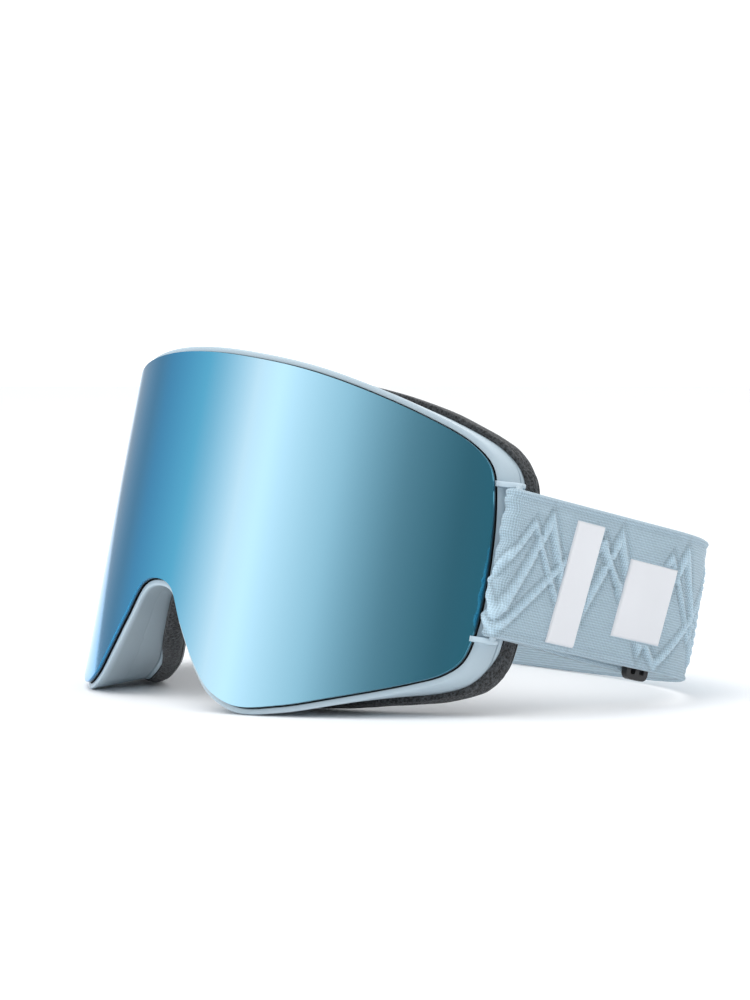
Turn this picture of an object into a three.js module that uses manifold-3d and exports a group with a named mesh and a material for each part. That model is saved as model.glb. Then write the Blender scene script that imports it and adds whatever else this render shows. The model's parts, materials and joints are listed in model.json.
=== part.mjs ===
// Ski goggles: a cylindrical mirrored lens held by magnets, a moulded frame, layered face foam and a
// knit strap. Millimetres, +Z up, the wearer facing -Y. The goggles lie leaning back, on the rim's two
// lower lobes and the strap's rear edge, on the plane z = 0.
import * as THREE from 'three';
import { ParametricGeometry } from 'three/addons/geometries/ParametricGeometry.js';
import { mergeVertices } from 'three/addons/utils/BufferGeometryUtils.js';
import Module from 'manifold-3d';

const wasm = await Module();
wasm.setup();

// Driving dimensions. Insets are measured inwards from the lens edge, depths back from the lens front.
const LEAN = THREE.MathUtils.degToRad(13);
const LENS_RADIUS = 95;
const DEPTH_TURN = 0.3;
const GAP = 0.3;

const LENS_THICKNESS = 1.2;
const GASKET = { inset: [1.5, 5.5], depth: [1.5, 3.1] };
const INNER_LENS = { inset: 2, depth: [3.5, 4] };
const CARRIER = { wall: [0.1, 1.2], inner: 6.6, depth: [1.5, 4.3, 5.1] };
const RIM = {
  lip: [-2.3, -0.4], front: 1.7, ledge: [5.4, 6.2], inner: 6.4, shoulder: 0.9, end: 7.4, share: 0.5,
};
const WALL = { thickness: 1.7, slant: 1.3, line: -0.5 };
const VENTS = { share: 0.76, reach: 9 };
const BROW_VENT = { width: 15, depth: 5, places: [-2.5, -1.5, -0.5, 0.5, 1.5, 2.5] };
const CHEEK_VENT = { width: 13, depth: 7, places: [-12.6, 12.6] };
const VENT_FOAM = { shares: [0.58, 0.93], thickness: 1.2, brow: [-3, 3], cheek: [12, 13.5] };
const FLANGE = { inset: [-1, 12.5], thickness: 1.5 };
const MAGNET = { radius: 2, inset: 3.5, sunk: 0.05, places: [2.6, 8, 12.6] };

const REAR_SPREAD = 1;
const REAR_MIDDLE = 50;
const REAR_DROP = 0.02;
const REAR_RISE = 0.1;
const RISE_ENDS = [3, 18];
const FOREHEAD_DEPTH = 21.5;
const TEMPLE_DEPTH = 45.5;
const TEMPLE_X = 88;
const NOSE_DEPTH = 12;
const NOSE_REACH = 28;
const FACE_SLOPE = 0.3;
const FOAM = { base: 3, middle: 6, face: 8.2, rounding: 0.6, taper: 0.12 };

const BAR = { x: 91, y: 54.5, radius: 1.1 };
const STRAP = { thickness: 1.6, low: 31.2, high: 73.5, straight: 113, reach: 42, power: 2.4 };
const FOLD_RETURN = 60;
const END = { front: 72.3, back: 111, fall: 1.5 };
const SLIDER = { front: 105.5, length: 8.4, rail: 1.6, bar: 1.6, thickness: 2.2 };
const GRIP = { thickness: 0.8, width: 4, rows: [-9, 9], skipped: 4 };
const STEPS_PER_POINT = 3;

const COLOURS = {
  mirror: 0x7fc0dc, black: 0x17181a, clear: 0xdfe8ea, shell: 0xb4cbd6, steel: 0x9a9ea3,
  foam: 0x2b2d2f, fleece: 0x232527, webbing: 0xaec2cb, silicone: 0xdfe5e8,
};

// The right half of the lens edge and of the port behind it, on the unrolled lens: arc length from the
// middle and height, from the top middle round to the middle of the nose.
const LENS_EDGE = [
  [0, 100.5], [22.5, 99.6], [48, 96.8], [79, 89.6], [94.7, 83.9], [101, 78.6], [103.5, 70],
  [105.2, 51.3], [104.6, 32], [102.4, 23.6], [97.7, 18.9], [88.9, 14.7], [68.4, 7.1], [52.9, 2.1],
  [40, 0], [30.3, 3.3], [23.5, 9.8], [14.8, 21.1], [7.7, 31], [0, 33],
];
const PORT_EDGE = [
  [0, 84], [20, 83], [43, 80.5], [68, 75.5], [81, 70], [85, 66.5], [87, 62],
  [89, 50], [88, 38], [86, 34], [82, 31.5], [76, 28.5], [62, 22.5], [51, 18.5],
  [43, 17], [40, 19], [36.5, 21.5], [29, 29.5], [17, 44], [0, 49.5],
];
const POINTS_ROUND = 2 * (LENS_EDGE.length - 1);
const RING_STEPS = POINTS_ROUND * STEPS_PER_POINT;

function closedOutline(half) {
  const right = half.map(([s, z]) => new THREE.Vector3(s, z, 0));
  const left = half.slice(1, -1).reverse().map(([s, z]) => new THREE.Vector3(-s, z, 0));
  return new THREE.CatmullRomCurve3([...right, ...left], true, 'centripetal');
}

const lensEdge = closedOutline(LENS_EDGE);
const portEdge = closedOutline(PORT_EDGE);

// A place on the lens edge, counted in outline points from the top middle, and its inward direction.
function edgeAt(place) {
  const t = THREE.MathUtils.euclideanModulo(place / POINTS_ROUND, 1);
  const point = lensEdge.getPoint(t);
  const inward = portEdge.getPoint(t).sub(point).normalize();
  return { point, inward };
}

// Lays a point of the unrolled lens on its cylinder and moves it back by a depth.
function wrap(s, z, depth) {
  const angle = s / LENS_RADIUS;
  const turn = angle * DEPTH_TURN;
  const x = LENS_RADIUS * Math.sin(angle) - depth * Math.sin(turn);
  const y = LENS_RADIUS * (1 - Math.cos(angle)) + depth * Math.cos(turn);
  return new THREE.Vector3(x, y, z);
}

function unrolled(place, inset) {
  const { point, inward } = edgeAt(place);
  return point.addScaledVector(inward, inset);
}

function frontPoint(place, inset, depth) {
  const flat = unrolled(place, inset);
  return wrap(flat.x, flat.y, depth);
}

// How far behind the lens front the frame's rear edge lies: the face's curve, shallower at the nose.
function rearDepth(x, z) {
  const face = FOREHEAD_DEPTH + (TEMPLE_DEPTH - 1) * (x / TEMPLE_X) ** 2;
  if (z > REAR_MIDDLE) {
    return face;
  }
  const away = THREE.MathUtils.smoothstep(Math.abs(x), 0, NOSE_REACH);
  return THREE.MathUtils.lerp(NOSE_DEPTH, face, away);
}

function rearPoint(place, inset, depth) {
  const { point, inward } = edgeAt(place);
  const rise = REAR_RISE * (1 - THREE.MathUtils.smoothstep(point.y, ...RISE_ENDS));
  const x = REAR_SPREAD * LENS_RADIUS * Math.sin(point.x / LENS_RADIUS);
  const z = point.y + (REAR_MIDDLE - point.y) * (point.y > REAR_MIDDLE ? REAR_DROP : rise);
  const slope = FACE_SLOPE * Math.abs(x) / TEMPLE_X;
  const y = rearDepth(x, z) - slope * inset + depth;
  return new THREE.Vector3(x + inward.x * inset, y, z + inward.y * inset);
}

function wallPoint(place, inset, share) {
  const front = frontPoint(place, inset, RIM.front);
  return front.lerp(rearPoint(place, inset, -FLANGE.thickness - GAP), share);
}

// The share of the wall's depth at which the rim ends, always a little behind its ledge, or where the
// shell starts, if a gap is given.
function rimEnd(place, gap = 0) {
  const ahead = frontPoint(place, 0, RIM.front);
  const back = frontPoint(place, 0, RIM.front + 1).sub(ahead);
  const reach = rearPoint(place, 0, -FLANGE.thickness - GAP).sub(ahead).dot(back);
  return Math.max(RIM.share, (RIM.end - RIM.front) / reach) + gap / reach;
}

// Section corners: each one gives the point at a place round the outline.
const front = (inset, depth) => (place) => frontPoint(place, inset, depth);
const rear = (inset, depth) => (place) => rearPoint(place, inset, depth);
const wall = (inset, share) => (place) => wallPoint(place, inset, share);

// A corner of the side wall behind the rim's end: part runs from 0 at that end to 1 at the flange, and
// extra moves the corner inwards.
function wallCorner(part, extra, gap = 0) {
  return (place) => {
    const share = THREE.MathUtils.lerp(rimEnd(place, gap), 1, part);
    return wallPoint(place, RIM.lip[0] + share * WALL.slant + extra, share);
  };
}

function signedVolume(geometry) {
  const { index, attributes } = geometry;
  const corner = (i) => new THREE.Vector3().fromBufferAttribute(attributes.position, index.getX(i));
  let total = 0;
  for (let i = 0; i < index.count; i += 3) {
    total += corner(i).dot(corner(i + 1).cross(corner(i + 2)));
  }
  return total / 6;
}

// Merges shared vertices, drops collapsed triangles and turns the faces outwards.
function closed(geometry) {
  geometry.deleteAttribute('normal');
  geometry.deleteAttribute('uv');
  const merged = mergeVertices(geometry, 1e-4);
  const kept = [];
  for (let i = 0; i < merged.index.count; i += 3) {
    const [a, b, c] = [0, 1, 2].map((k) => merged.index.getX(i + k));
    if (a !== b && b !== c && c !== a) {
      kept.push(a, b, c);
    }
  }
  merged.setIndex(kept);
  if (signedVolume(merged) < 0) {
    merged.setIndex(kept.reverse());
  }
  merged.computeVertexNormals();
  return merged;
}

// Carries a section of corner functions right round the outline.
function ring(section) {
  const count = section.length;
  return closed(new ParametricGeometry((u, v, target) => {
    const corner = section[Math.round(u * count) % count];
    target.copy(corner(v * POINTS_ROUND));
  }, count, RING_STEPS));
}

// Joins a row of equal sections, given as lists of points, and closes both ends.
function sweep(sections) {
  const count = sections[0].length;
  const middles = sections.map((section) => {
    const sum = section.reduce((total, point) => total.add(point), new THREE.Vector3());
    return sum.divideScalar(count);
  });
  const last = sections.length + 1;
  return closed(new ParametricGeometry((u, v, target) => {
    const row = Math.round(v * last);
    const inner = THREE.MathUtils.clamp(row - 1, 0, last - 2);
    const capped = row === 0 || row === last;
    target.copy(capped ? middles[inner] : sections[inner][Math.round(u * count) % count]);
  }, count, last));
}

function arc(section, from, to) {
  const steps = Math.round((to - from) * STEPS_PER_POINT);
  const places = Array.from({ length: steps + 1 }, (_, i) => from + (to - from) * i / steps);
  return sweep(places.map((place) => section.map((corner) => corner(place))));
}

// A sheet that fills the outline at an inset, between two depths: columns from the lower to the upper edge.
function sheet(inset, depths) {
  const half = POINTS_ROUND / 2;
  const fine = 24;
  const edge = Array.from({ length: half * fine + 1 }, (_, i) => unrolled(i / fine, inset));
  const widest = edge.reduce((best, point, i) => (point.x > edge[best].x ? i : best), 0);
  const upper = edge.slice(0, widest + 1);
  const lower = edge.slice(widest).reverse();
  const reach = edge[widest].x - 0.05;
  const columns = 64;
  const sections = [];
  for (let i = 0; i <= columns; i += 1) {
    const s = reach * Math.sin(Math.PI * (i / columns - 0.5));
    const top = heightAt(upper, Math.abs(s));
    const bottom = heightAt(lower, Math.abs(s));
    const corners = [[top, 0], [bottom, 0], [bottom, 1], [top, 1]];
    sections.push(corners.map(([z, face]) => wrap(s, z, depths[face])));
  }
  return sweep(sections);
}

function heightAt(line, s) {
  const next = Math.max(1, line.findIndex((point) => point.x >= s));
  const [a, b] = [line[next - 1], line[next]];
  return THREE.MathUtils.lerp(a.y, b.y, THREE.MathUtils.clamp((s - a.x) / (b.x - a.x), 0, 1));
}

function solid(geometry) {
  const vertProperties = new Float32Array(geometry.attributes.position.array);
  const triVerts = new Uint32Array(geometry.index.array);
  return new wasm.Manifold(new wasm.Mesh({ numProp: 3, vertProperties, triVerts }));
}

function placed(geometry, object) {
  object.updateMatrix();
  return closed(geometry.applyMatrix4(object.matrix));
}

function toGeometry(manifold) {
  const mesh = manifold.getMesh();
  const geometry = new THREE.BufferGeometry();
  geometry.setAttribute('position', new THREE.BufferAttribute(new Float32Array(mesh.vertProperties), 3));
  geometry.setIndex(Array.from(mesh.triVerts));
  return closed(geometry);
}

function cut(geometry, cutters) {
  return toGeometry(cutters.reduce((rest, cutter) => rest.subtract(solid(cutter)), solid(geometry)));
}

function join(geometries) {
  return toGeometry(geometries.map(solid).reduce((whole, next) => whole.add(next)));
}

// A round plug through a ring, square to the lens cylinder, between two depths.
function plug(place, depths, radius) {
  const angle = unrolled(place, MAGNET.inset).x / LENS_RADIUS;
  const height = (depths[1] - depths[0]) * Math.cos(angle * (1 - DEPTH_TURN));
  const holder = new THREE.Object3D();
  holder.position.copy(frontPoint(place, MAGNET.inset, (depths[0] + depths[1]) / 2));
  holder.rotation.z = angle;
  return placed(new THREE.CylinderGeometry(radius, radius, height, 10), holder);
}

const magnetPlaces = MAGNET.places.flatMap((place) => [place, -place]);

function holes(depths) {
  const reach = [depths[0] - 1, depths[1] + 1];
  return magnetPlaces.map((place) => plug(place, reach, MAGNET.radius + GAP));
}

function carrierShape() {
  const [outer, inner] = CARRIER.wall;
  const [start, seat, back] = CARRIER.depth;
  const shape = ring([
    front(outer, start), front(inner, start), front(inner, seat),
    front(CARRIER.inner, seat), front(CARRIER.inner, back), front(outer, back),
  ]);
  return cut(shape, holes([seat, back]));
}

function rimShape() {
  const [outer, inner] = RIM.lip;
  const [seat, back] = RIM.ledge;
  const shape = ring([
    front(outer + 0.5, RIM.front), front(inner - 0.3, RIM.front), front(inner, RIM.front + 0.3),
    front(inner, seat), front(RIM.inner, seat), front(RIM.inner, back), front(RIM.shoulder, back),
    wallCorner(0, WALL.thickness), wallCorner(0, 0), wall(outer, 0.04),
  ]);
  return cut(shape, holes(RIM.ledge));
}

const SHELL_PARTS = [0, 0.5, 1];

// The side wall between the rim and the flange, with air vents along the brow and under the cheeks.
function shellShape() {
  const outer = SHELL_PARTS.map((part) => wallCorner(part, 0, GAP));
  const inner = SHELL_PARTS.map((part) => wallCorner(part, WALL.thickness, GAP));
  const vents = [BROW_VENT, CHEEK_VENT];
  const cutters = vents.flatMap((vent) => vent.places.map((place) => ventCutter(place, vent)));
  return cut(ring([...outer, ...inner.reverse()]), cutters);
}

function ventCutter(place, { width, depth }) {
  const at = (spot) => wallPoint(spot, WALL.line, VENTS.share);
  const middle = at(place);
  const along = at(place + 0.1).sub(at(place - 0.1));
  const holder = new THREE.Object3D();
  holder.position.copy(middle);
  holder.rotation.set(0, -Math.atan2(along.z, along.x), Math.atan2(along.y, along.x), 'ZYX');
  return placed(new THREE.BoxGeometry(width, depth, VENTS.reach), holder);
}

function flangeShape() {
  const [outer, inner] = FLANGE.inset;
  return ring([
    rear(outer, -FLANGE.thickness), rear(inner, -FLANGE.thickness), rear(inner, 0), rear(outer, 0),
  ]);
}

// A layer of the face foam: the stack narrows towards the face, and the last layer is rounded off.
// Every other layer's section runs the other way round, so that two facing surfaces share their diagonals.
function foamShape(layer, near, far, rounding = 0) {
  const outer = (depth) => FLANGE.inset[0] + FOAM.taper * depth;
  const inner = (depth) => FLANGE.inset[1] - FOAM.taper * depth;
  const section = [
    rear(outer(near), near), rear(inner(near), near), rear(inner(far) - rounding, far),
    rear(outer(far) + rounding, far),
  ];
  return ring(layer % 2 ? section.reverse() : section);
}

function ventFoam(from, to) {
  const inset = (share) => RIM.lip[0] + share * WALL.slant + WALL.thickness + GAP;
  const corner = (share, extra) => wall(inset(share) + extra, share);
  const [low, high] = VENT_FOAM.shares;
  const depth = VENT_FOAM.thickness;
  return arc([corner(low, 0), corner(low, depth), corner(high, depth), corner(high, 0)], from, to);
}

// The strap's middle line seen from above: side +1 is the wearer's left. The straights run back beside
// the temples and a rounded end joins them behind the head.
const OUTER_X = BAR.x + BAR.radius + GAP + STRAP.thickness / 2;
const FOLD_RADIUS = OUTER_X - BAR.x;
const STRAP_MIDDLE = (STRAP.low + STRAP.high) / 2;

const bendShares = Array.from({ length: 18 }, (_, i) => i / 17.5);

function bend(share) {
  const angle = share * Math.PI / 2;
  const x = OUTER_X * Math.cos(angle) ** (2 / STRAP.power);
  const y = STRAP.straight + STRAP.reach * Math.sin(angle) ** (2 / STRAP.power);
  return [x, y];
}

function foldPoints() {
  const turn = Array.from({ length: 7 }, (_, i) => Math.PI * (1 - i / 6));
  const round = turn.map((a) => [BAR.x + FOLD_RADIUS * Math.cos(a), BAR.y - FOLD_RADIUS * Math.sin(a)]);
  return [[BAR.x - FOLD_RADIUS, FOLD_RETURN], ...round];
}

function bandLine() {
  const half = [...foldPoints(), [OUTER_X, 87], ...bendShares.map(bend)];
  const other = half.map(([x, y]) => [-x, y]).reverse();
  return [...half, ...other];
}

// A band of given thickness and height along a line seen from above.
function band(line, thickness, low, high, shift = 0, fall = 0) {
  const sections = line.map(([x, y], i) => {
    const [before, after] = [line[Math.max(0, i - 1)], line[Math.min(line.length - 1, i + 1)]];
    const normal = new THREE.Vector2(after[1] - before[1], before[0] - after[0]).normalize();
    const corner = (across, z) => new THREE.Vector3(x + normal.x * across, y + normal.y * across, z - fall);
    const [outer, inner] = [shift + thickness / 2, shift - thickness / 2];
    return [corner(outer, low), corner(outer, high), corner(inner, high), corner(inner, low)];
  });
  return sweep(sections);
}

function endShape(side) {
  const x = side * (BAR.x - FOLD_RADIUS);
  return band([[x, END.front], [x, END.back]], STRAP.thickness, STRAP.low, STRAP.high, 0, END.fall);
}

function gripShape(low) {
  const half = bendShares.slice(GRIP.skipped).map(bend);
  const line = [...half, ...half.map(([x, y]) => [-x, y]).reverse()];
  const shift = -(STRAP.thickness + GRIP.thickness) / 2 - GAP;
  return band(line, GRIP.thickness, low, low + GRIP.width, shift);
}

const [X_AXIS, Y_AXIS, Z_AXIS] = [[1, 0, 0], [0, 1, 0], [0, 0, 1]].map((axis) => new THREE.Vector3(...axis));
const SIDEWAYS = new THREE.Matrix4().makeBasis(Y_AXIS, Z_AXIS, X_AXIS);

// The strap adjuster: two rails and three bars in one plane.
function sliderShape(side) {
  const outline = new THREE.Shape();
  const [bottom, top] = [STRAP.low - END.fall, STRAP.high - END.fall];
  const [low, high] = [bottom - SLIDER.rail, top + SLIDER.rail];
  roundedRectangle(outline, SLIDER.front, low, SLIDER.length, high - low, 2);
  const slot = (SLIDER.length - 3 * SLIDER.bar) / 2;
  for (const y of [SLIDER.front + SLIDER.bar, SLIDER.front + 2 * SLIDER.bar + slot]) {
    const opening = new THREE.Path();
    roundedRectangle(opening, y, bottom, slot, top - bottom, 0.6);
    outline.holes.push(opening);
  }
  const settings = { depth: SLIDER.thickness, bevelEnabled: false, curveSegments: 3 };
  const plate = new THREE.ExtrudeGeometry(outline, settings);
  const holder = new THREE.Object3D();
  holder.quaternion.setFromRotationMatrix(SIDEWAYS);
  holder.position.x = side * BAR.x - SLIDER.thickness / 2;
  return placed(plate, holder);
}

function roundedRectangle(path, x, y, width, height, radius) {
  path.moveTo(x + radius, y);
  path.lineTo(x + width - radius, y);
  path.absarc(x + width - radius, y + radius, radius, -Math.PI / 2, 0, false);
  path.lineTo(x + width, y + height - radius);
  path.absarc(x + width - radius, y + height - radius, radius, 0, Math.PI / 2, false);
  path.lineTo(x + radius, y + height);
  path.absarc(x + radius, y + height - radius, radius, Math.PI / 2, Math.PI, false);
  path.lineTo(x, y + radius);
  path.absarc(x + radius, y + radius, radius, Math.PI, 1.5 * Math.PI, false);
}

// The strap bracket: an upright bar between two arms that meet the frame's wall.
const ARM = { height: 2.8, front: 51, back: 60, tip: 93.4, roots: [86.3, 85.6] };

function bracketShape(side) {
  const [low, high] = [STRAP.low - GAP - ARM.height, STRAP.high + GAP];
  const upright = new THREE.CylinderGeometry(BAR.radius, BAR.radius, high - low + 1, 12);
  const holder = new THREE.Object3D();
  holder.rotation.x = Math.PI / 2;
  holder.position.set(side * BAR.x, BAR.y, (low + high + ARM.height) / 2);
  const arms = [low, high].map((z, i) => armShape(side, ARM.roots[i], z));
  return join([placed(upright, holder), ...arms]);
}

function armShape(side, root, z) {
  const shape = new THREE.Shape();
  const radius = (ARM.back - ARM.front) / 2;
  shape.moveTo(root, ARM.front);
  shape.lineTo(ARM.tip - radius, ARM.front);
  shape.absarc(ARM.tip - radius, ARM.front + radius, radius, -Math.PI / 2, Math.PI / 2, false);
  shape.lineTo(root, ARM.back);
  shape.closePath();
  const holder = new THREE.Object3D();
  holder.position.z = z;
  holder.scale.x = side;
  const settings = { depth: ARM.height, bevelEnabled: false, curveSegments: 5 };
  return placed(new THREE.ExtrudeGeometry(shape, settings), holder);
}

function material(name, roughness, metalness, opacity = 1) {
  const settings = { color: COLOURS[name], roughness, metalness, opacity, transparent: opacity < 1 };
  return new THREE.MeshStandardMaterial(settings);
}

const finishes = {
  mirror: material('mirror', 0.08, 0.9),
  black: material('black', 0.45, 0),
  clear: material('clear', 0.05, 0, 0.35),
  shell: material('shell', 0.4, 0),
  steel: material('steel', 0.35, 1),
  foam: material('foam', 0.95, 0),
  fleece: material('fleece', 1, 0),
  webbing: material('webbing', 0.85, 0),
  silicone: material('silicone', 0.5, 0),
};

function part(name, geometry, finish) {
  const mesh = new THREE.Mesh(geometry, finishes[finish]);
  mesh.name = name;
  return mesh;
}

function group(...parts) {
  return new THREE.Group().add(...parts);
}

const sideName = (side) => (side > 0 ? 'left' : 'right');
const bothSides = (make) => [1, -1].map(make);

function discs(name, depths) {
  const shapes = magnetPlaces.map((place) => plug(place, depths, MAGNET.radius));
  return shapes.map((shape, i) => part(`${name}_${i + 1}`, shape, 'steel'));
}

function lensAssembly() {
  const [near, far] = GASKET.depth;
  const [outer, inner] = GASKET.inset;
  const keeperDepth = [CARRIER.depth[1] + MAGNET.sunk, CARRIER.depth[2] - MAGNET.sunk];
  const gasket = ring([front(outer, near), front(inner, near), front(inner, far), front(outer, far)]);
  return group(
    part('outer_lens', sheet(0, [0, LENS_THICKNESS]), 'mirror'),
    part('lens_gasket', gasket, 'foam'),
    part('inner_lens', sheet(INNER_LENS.inset, INNER_LENS.depth), 'clear'),
    part('lens_carrier', carrierShape(), 'black'),
    ...discs('lens_keeper', keeperDepth),
  );
}

function frameAssembly() {
  const magnetDepth = [RIM.ledge[0] + MAGNET.sunk, RIM.ledge[1] - MAGNET.sunk];
  return group(
    part('front_rim', rimShape(), 'shell'),
    part('frame_shell', shellShape(), 'shell'),
    part('face_flange', flangeShape(), 'shell'),
    ...discs('frame_magnet', magnetDepth),
    part('vent_foam_brow', ventFoam(...VENT_FOAM.brow), 'foam'),
    part('vent_foam_cheek_left', ventFoam(...VENT_FOAM.cheek), 'foam'),
    part('vent_foam_cheek_right', ventFoam(...VENT_FOAM.cheek.map((place) => -place).reverse()), 'foam'),
    ...bothSides((side) => part(`strap_bracket_${sideName(side)}`, bracketShape(side), 'shell')),
  );
}

function faceFoam() {
  return group(
    part('base_foam', foamShape(1, GAP, FOAM.base), 'foam'),
    part('middle_foam', foamShape(2, FOAM.base + GAP, FOAM.middle), 'foam'),
    part('fleece_lining', foamShape(3, FOAM.middle + GAP, FOAM.face, FOAM.rounding), 'fleece'),
  );
}

function strapAssembly() {
  const rows = GRIP.rows.map((height) => STRAP_MIDDLE + height - GRIP.width / 2);
  return group(
    part('strap_band', band(bandLine(), STRAP.thickness, STRAP.low, STRAP.high), 'webbing'),
    part('grip_strip_lower', gripShape(rows[0]), 'silicone'),
    part('grip_strip_upper', gripShape(rows[1]), 'silicone'),
    ...bothSides((side) => part(`strap_end_${sideName(side)}`, endShape(side), 'webbing')),
    ...bothSides((side) => part(`strap_slider_${sideName(side)}`, sliderShape(side), 'black')),
  );
}

// Leans the goggles back and sets them down with the middle of their footprint at the origin.
function goggles() {
  const upright = group(lensAssembly(), frameAssembly(), faceFoam(), strapAssembly());
  upright.rotation.x = -LEAN;
  upright.updateMatrixWorld(true);
  const box = new THREE.Box3().setFromObject(upright, true);
  const middle = box.getCenter(new THREE.Vector3());
  upright.position.set(-middle.x, -middle.y, -box.min.z);
  return group(upright);
}

export default goggles();
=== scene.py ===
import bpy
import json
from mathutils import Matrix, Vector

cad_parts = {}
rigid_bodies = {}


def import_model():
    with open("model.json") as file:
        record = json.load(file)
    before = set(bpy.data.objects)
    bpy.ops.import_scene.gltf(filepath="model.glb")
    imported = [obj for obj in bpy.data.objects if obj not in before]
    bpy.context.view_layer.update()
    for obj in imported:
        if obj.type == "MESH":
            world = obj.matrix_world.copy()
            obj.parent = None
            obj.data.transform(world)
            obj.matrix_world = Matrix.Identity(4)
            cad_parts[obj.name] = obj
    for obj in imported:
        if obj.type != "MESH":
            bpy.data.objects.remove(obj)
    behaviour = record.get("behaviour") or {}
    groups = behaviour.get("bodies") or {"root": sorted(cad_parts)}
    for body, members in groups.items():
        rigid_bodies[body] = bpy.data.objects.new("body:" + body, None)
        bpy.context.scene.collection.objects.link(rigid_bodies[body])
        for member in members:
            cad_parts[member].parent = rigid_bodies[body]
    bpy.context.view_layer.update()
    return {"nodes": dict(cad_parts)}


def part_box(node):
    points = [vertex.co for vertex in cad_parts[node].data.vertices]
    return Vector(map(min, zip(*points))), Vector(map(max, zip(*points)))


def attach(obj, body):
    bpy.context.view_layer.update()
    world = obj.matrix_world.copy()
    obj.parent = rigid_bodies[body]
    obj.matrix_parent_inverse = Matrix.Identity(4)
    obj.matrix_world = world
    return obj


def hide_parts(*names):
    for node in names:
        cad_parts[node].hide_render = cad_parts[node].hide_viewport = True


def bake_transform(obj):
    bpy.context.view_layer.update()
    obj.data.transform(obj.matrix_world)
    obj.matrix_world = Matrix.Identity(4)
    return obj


bl_info = {
    "name": "Ski goggles",
    "version": (1, 0, 0),
    "blender": (4, 5, 0),
    "location": "View3D > Sidebar > Goggles",
    "description": "Finished surfaces and materials for a pair of ski goggles",
    "category": "Add Mesh",
}

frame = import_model()

import json
import math

import bmesh
import bpy
import numpy as np
from bpy.props import FloatProperty, FloatVectorProperty, PointerProperty
from mathutils import Vector

# ---- Sizes: millimetres in the goggles' own frame, x to the wearer's left, y back and z up ----

MM = 0.001
LEAN = math.radians(13)
LENS_RADIUS = 95
DEPTH_TURN = 0.3
GAP = 0.3
LENS_THICKNESS = 1.2
GASKET = {"inset": (1.5, 5.5), "depth": (1.5, 3.1)}
INNER_LENS = {"inset": 2, "depth": (3.5, 4)}
RIM = {
    "lip": (-2.3, -0.4), "front": 1.7, "ledge": (5.4, 6.2), "inner": 6.4, "shoulder": 0.9, "end": 7.4,
    "share": 0.5,
}
WALL = {"thickness": 1.7, "slant": 1.3, "line": -0.5}
SEAM = 0.03  # visible gap at a parting line
LENS_REACH = -0.22  # the mirror's edge runs this far past the outline
NOSE_PLACE = 19  # where the nose apex lies on the outline
VENT_SHARE = 0.76
BROW_VENT = {"width": 15, "depth": 5, "places": (-2.5, -1.5, -0.5, 0.5, 1.5, 2.5)}
CHEEK_VENT = {"width": 13, "depth": 7, "places": (-12.6, 12.6)}
VENT_FOAM = {"shares": (0.58, 0.93), "thickness": 1.2, "brow": (-3, 3), "cheek": (12, 13.5)}
FLANGE = {"inset": (-1, 12.5), "thickness": 1.5}
REAR_MIDDLE = 50
REAR_DROP = 0.02
REAR_RISE = 0.1
RISE_ENDS = (3, 18)
FOREHEAD_DEPTH = 21.5
TEMPLE_DEPTH = 45.5
TEMPLE_X = 88
NOSE_DEPTH = 12
NOSE_REACH = 28
FACE_SLOPE = 0.3
FOAM = {"base": (0.3, 3), "middle": (3.3, 6), "face": (6.3, 8.2), "taper": 0.12}
BAR = {"x": 91, "y": 54.5, "radius": 1.1}
STRAP = {"thickness": 1.6, "low": 31.2, "high": 73.5, "straight": 113, "reach": 42, "power": 2.4}
FOLD_RETURN = 60
FOLD_RIPPLE = {"mean": 0.55, "waves": ((0.35, 0.71, 1), (0.22, 1.37, 0)), "reach": 3.2}
END = {"front": 60.3, "settled": 100, "back": 111, "fall": 1.5}
ARM = {"height": 1.6, "front": 51.5, "back": 58.5, "tip": 92.2, "root": 85, "rise": 3}
CAMERA = {
    "place": (0.7537, -0.57845, 0.1073), "turn": 52.444, "dip": 3.593, "lens": 111.2, "sensor": 36,
    "shift": (0.0018, 0.030),
}
LIGHT_ROUND = (  # degrees from straight ahead towards the wearer's left, level
    (-180, 1.0), (-119, 1.0), (-109, 0.45), (-85, 0.36), (-42, 0.66), (-12, 1.0), (18, 0.8),
    (44, 0.46), (66, 0.3), (95, 0.35), (130, 0.8), (180, 1.0),
)
TOP_LIGHT = {"place": (-0.5, -0.9, 2.2), "size": 2.0, "power": 26}
PATCH = {"lean": 0.12, "thickness": 0.5}
PATCHES = (  # start along the strap, width, low edge, high edge
    (29, 10.5, 33, 69), (53, 19, 39, 62),
)

LENS_EDGE = [
    (0, 100.5), (22.5, 99.6), (48, 96.8), (79, 89.6), (94.7, 83.9), (101, 78.6), (103.5, 70),
    (105.2, 51.3), (104.6, 32), (102.4, 23.6), (97.7, 18.9), (88.9, 14.7), (68.4, 7.1), (52.9, 2.1),
    (40, 0), (30.3, 3.3), (23.5, 9.8), (14.8, 21.1), (7.7, 31), (0, 33),
]
PORT_EDGE = [
    (0, 84), (20, 83), (43, 80.5), (68, 75.5), (81, 70), (85, 66.5), (87, 62),
    (89, 50), (88, 38), (86, 34), (82, 31.5), (76, 28.5), (62, 22.5), (51, 18.5),
    (43, 17), (40, 19), (36.5, 21.5), (29, 29.5), (17, 44), (0, 49.5),
]
ROUND = 2 * (len(LENS_EDGE) - 1)
STATIONS = np.arange(ROUND * 12) / 12


# ---- Shapes: places on the goggles, upright and in millimetres ----

def closed_outline(half):
    right = np.array(half, float)
    return np.vstack([right, right[-2:0:-1] * (-1, 1)])


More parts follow.
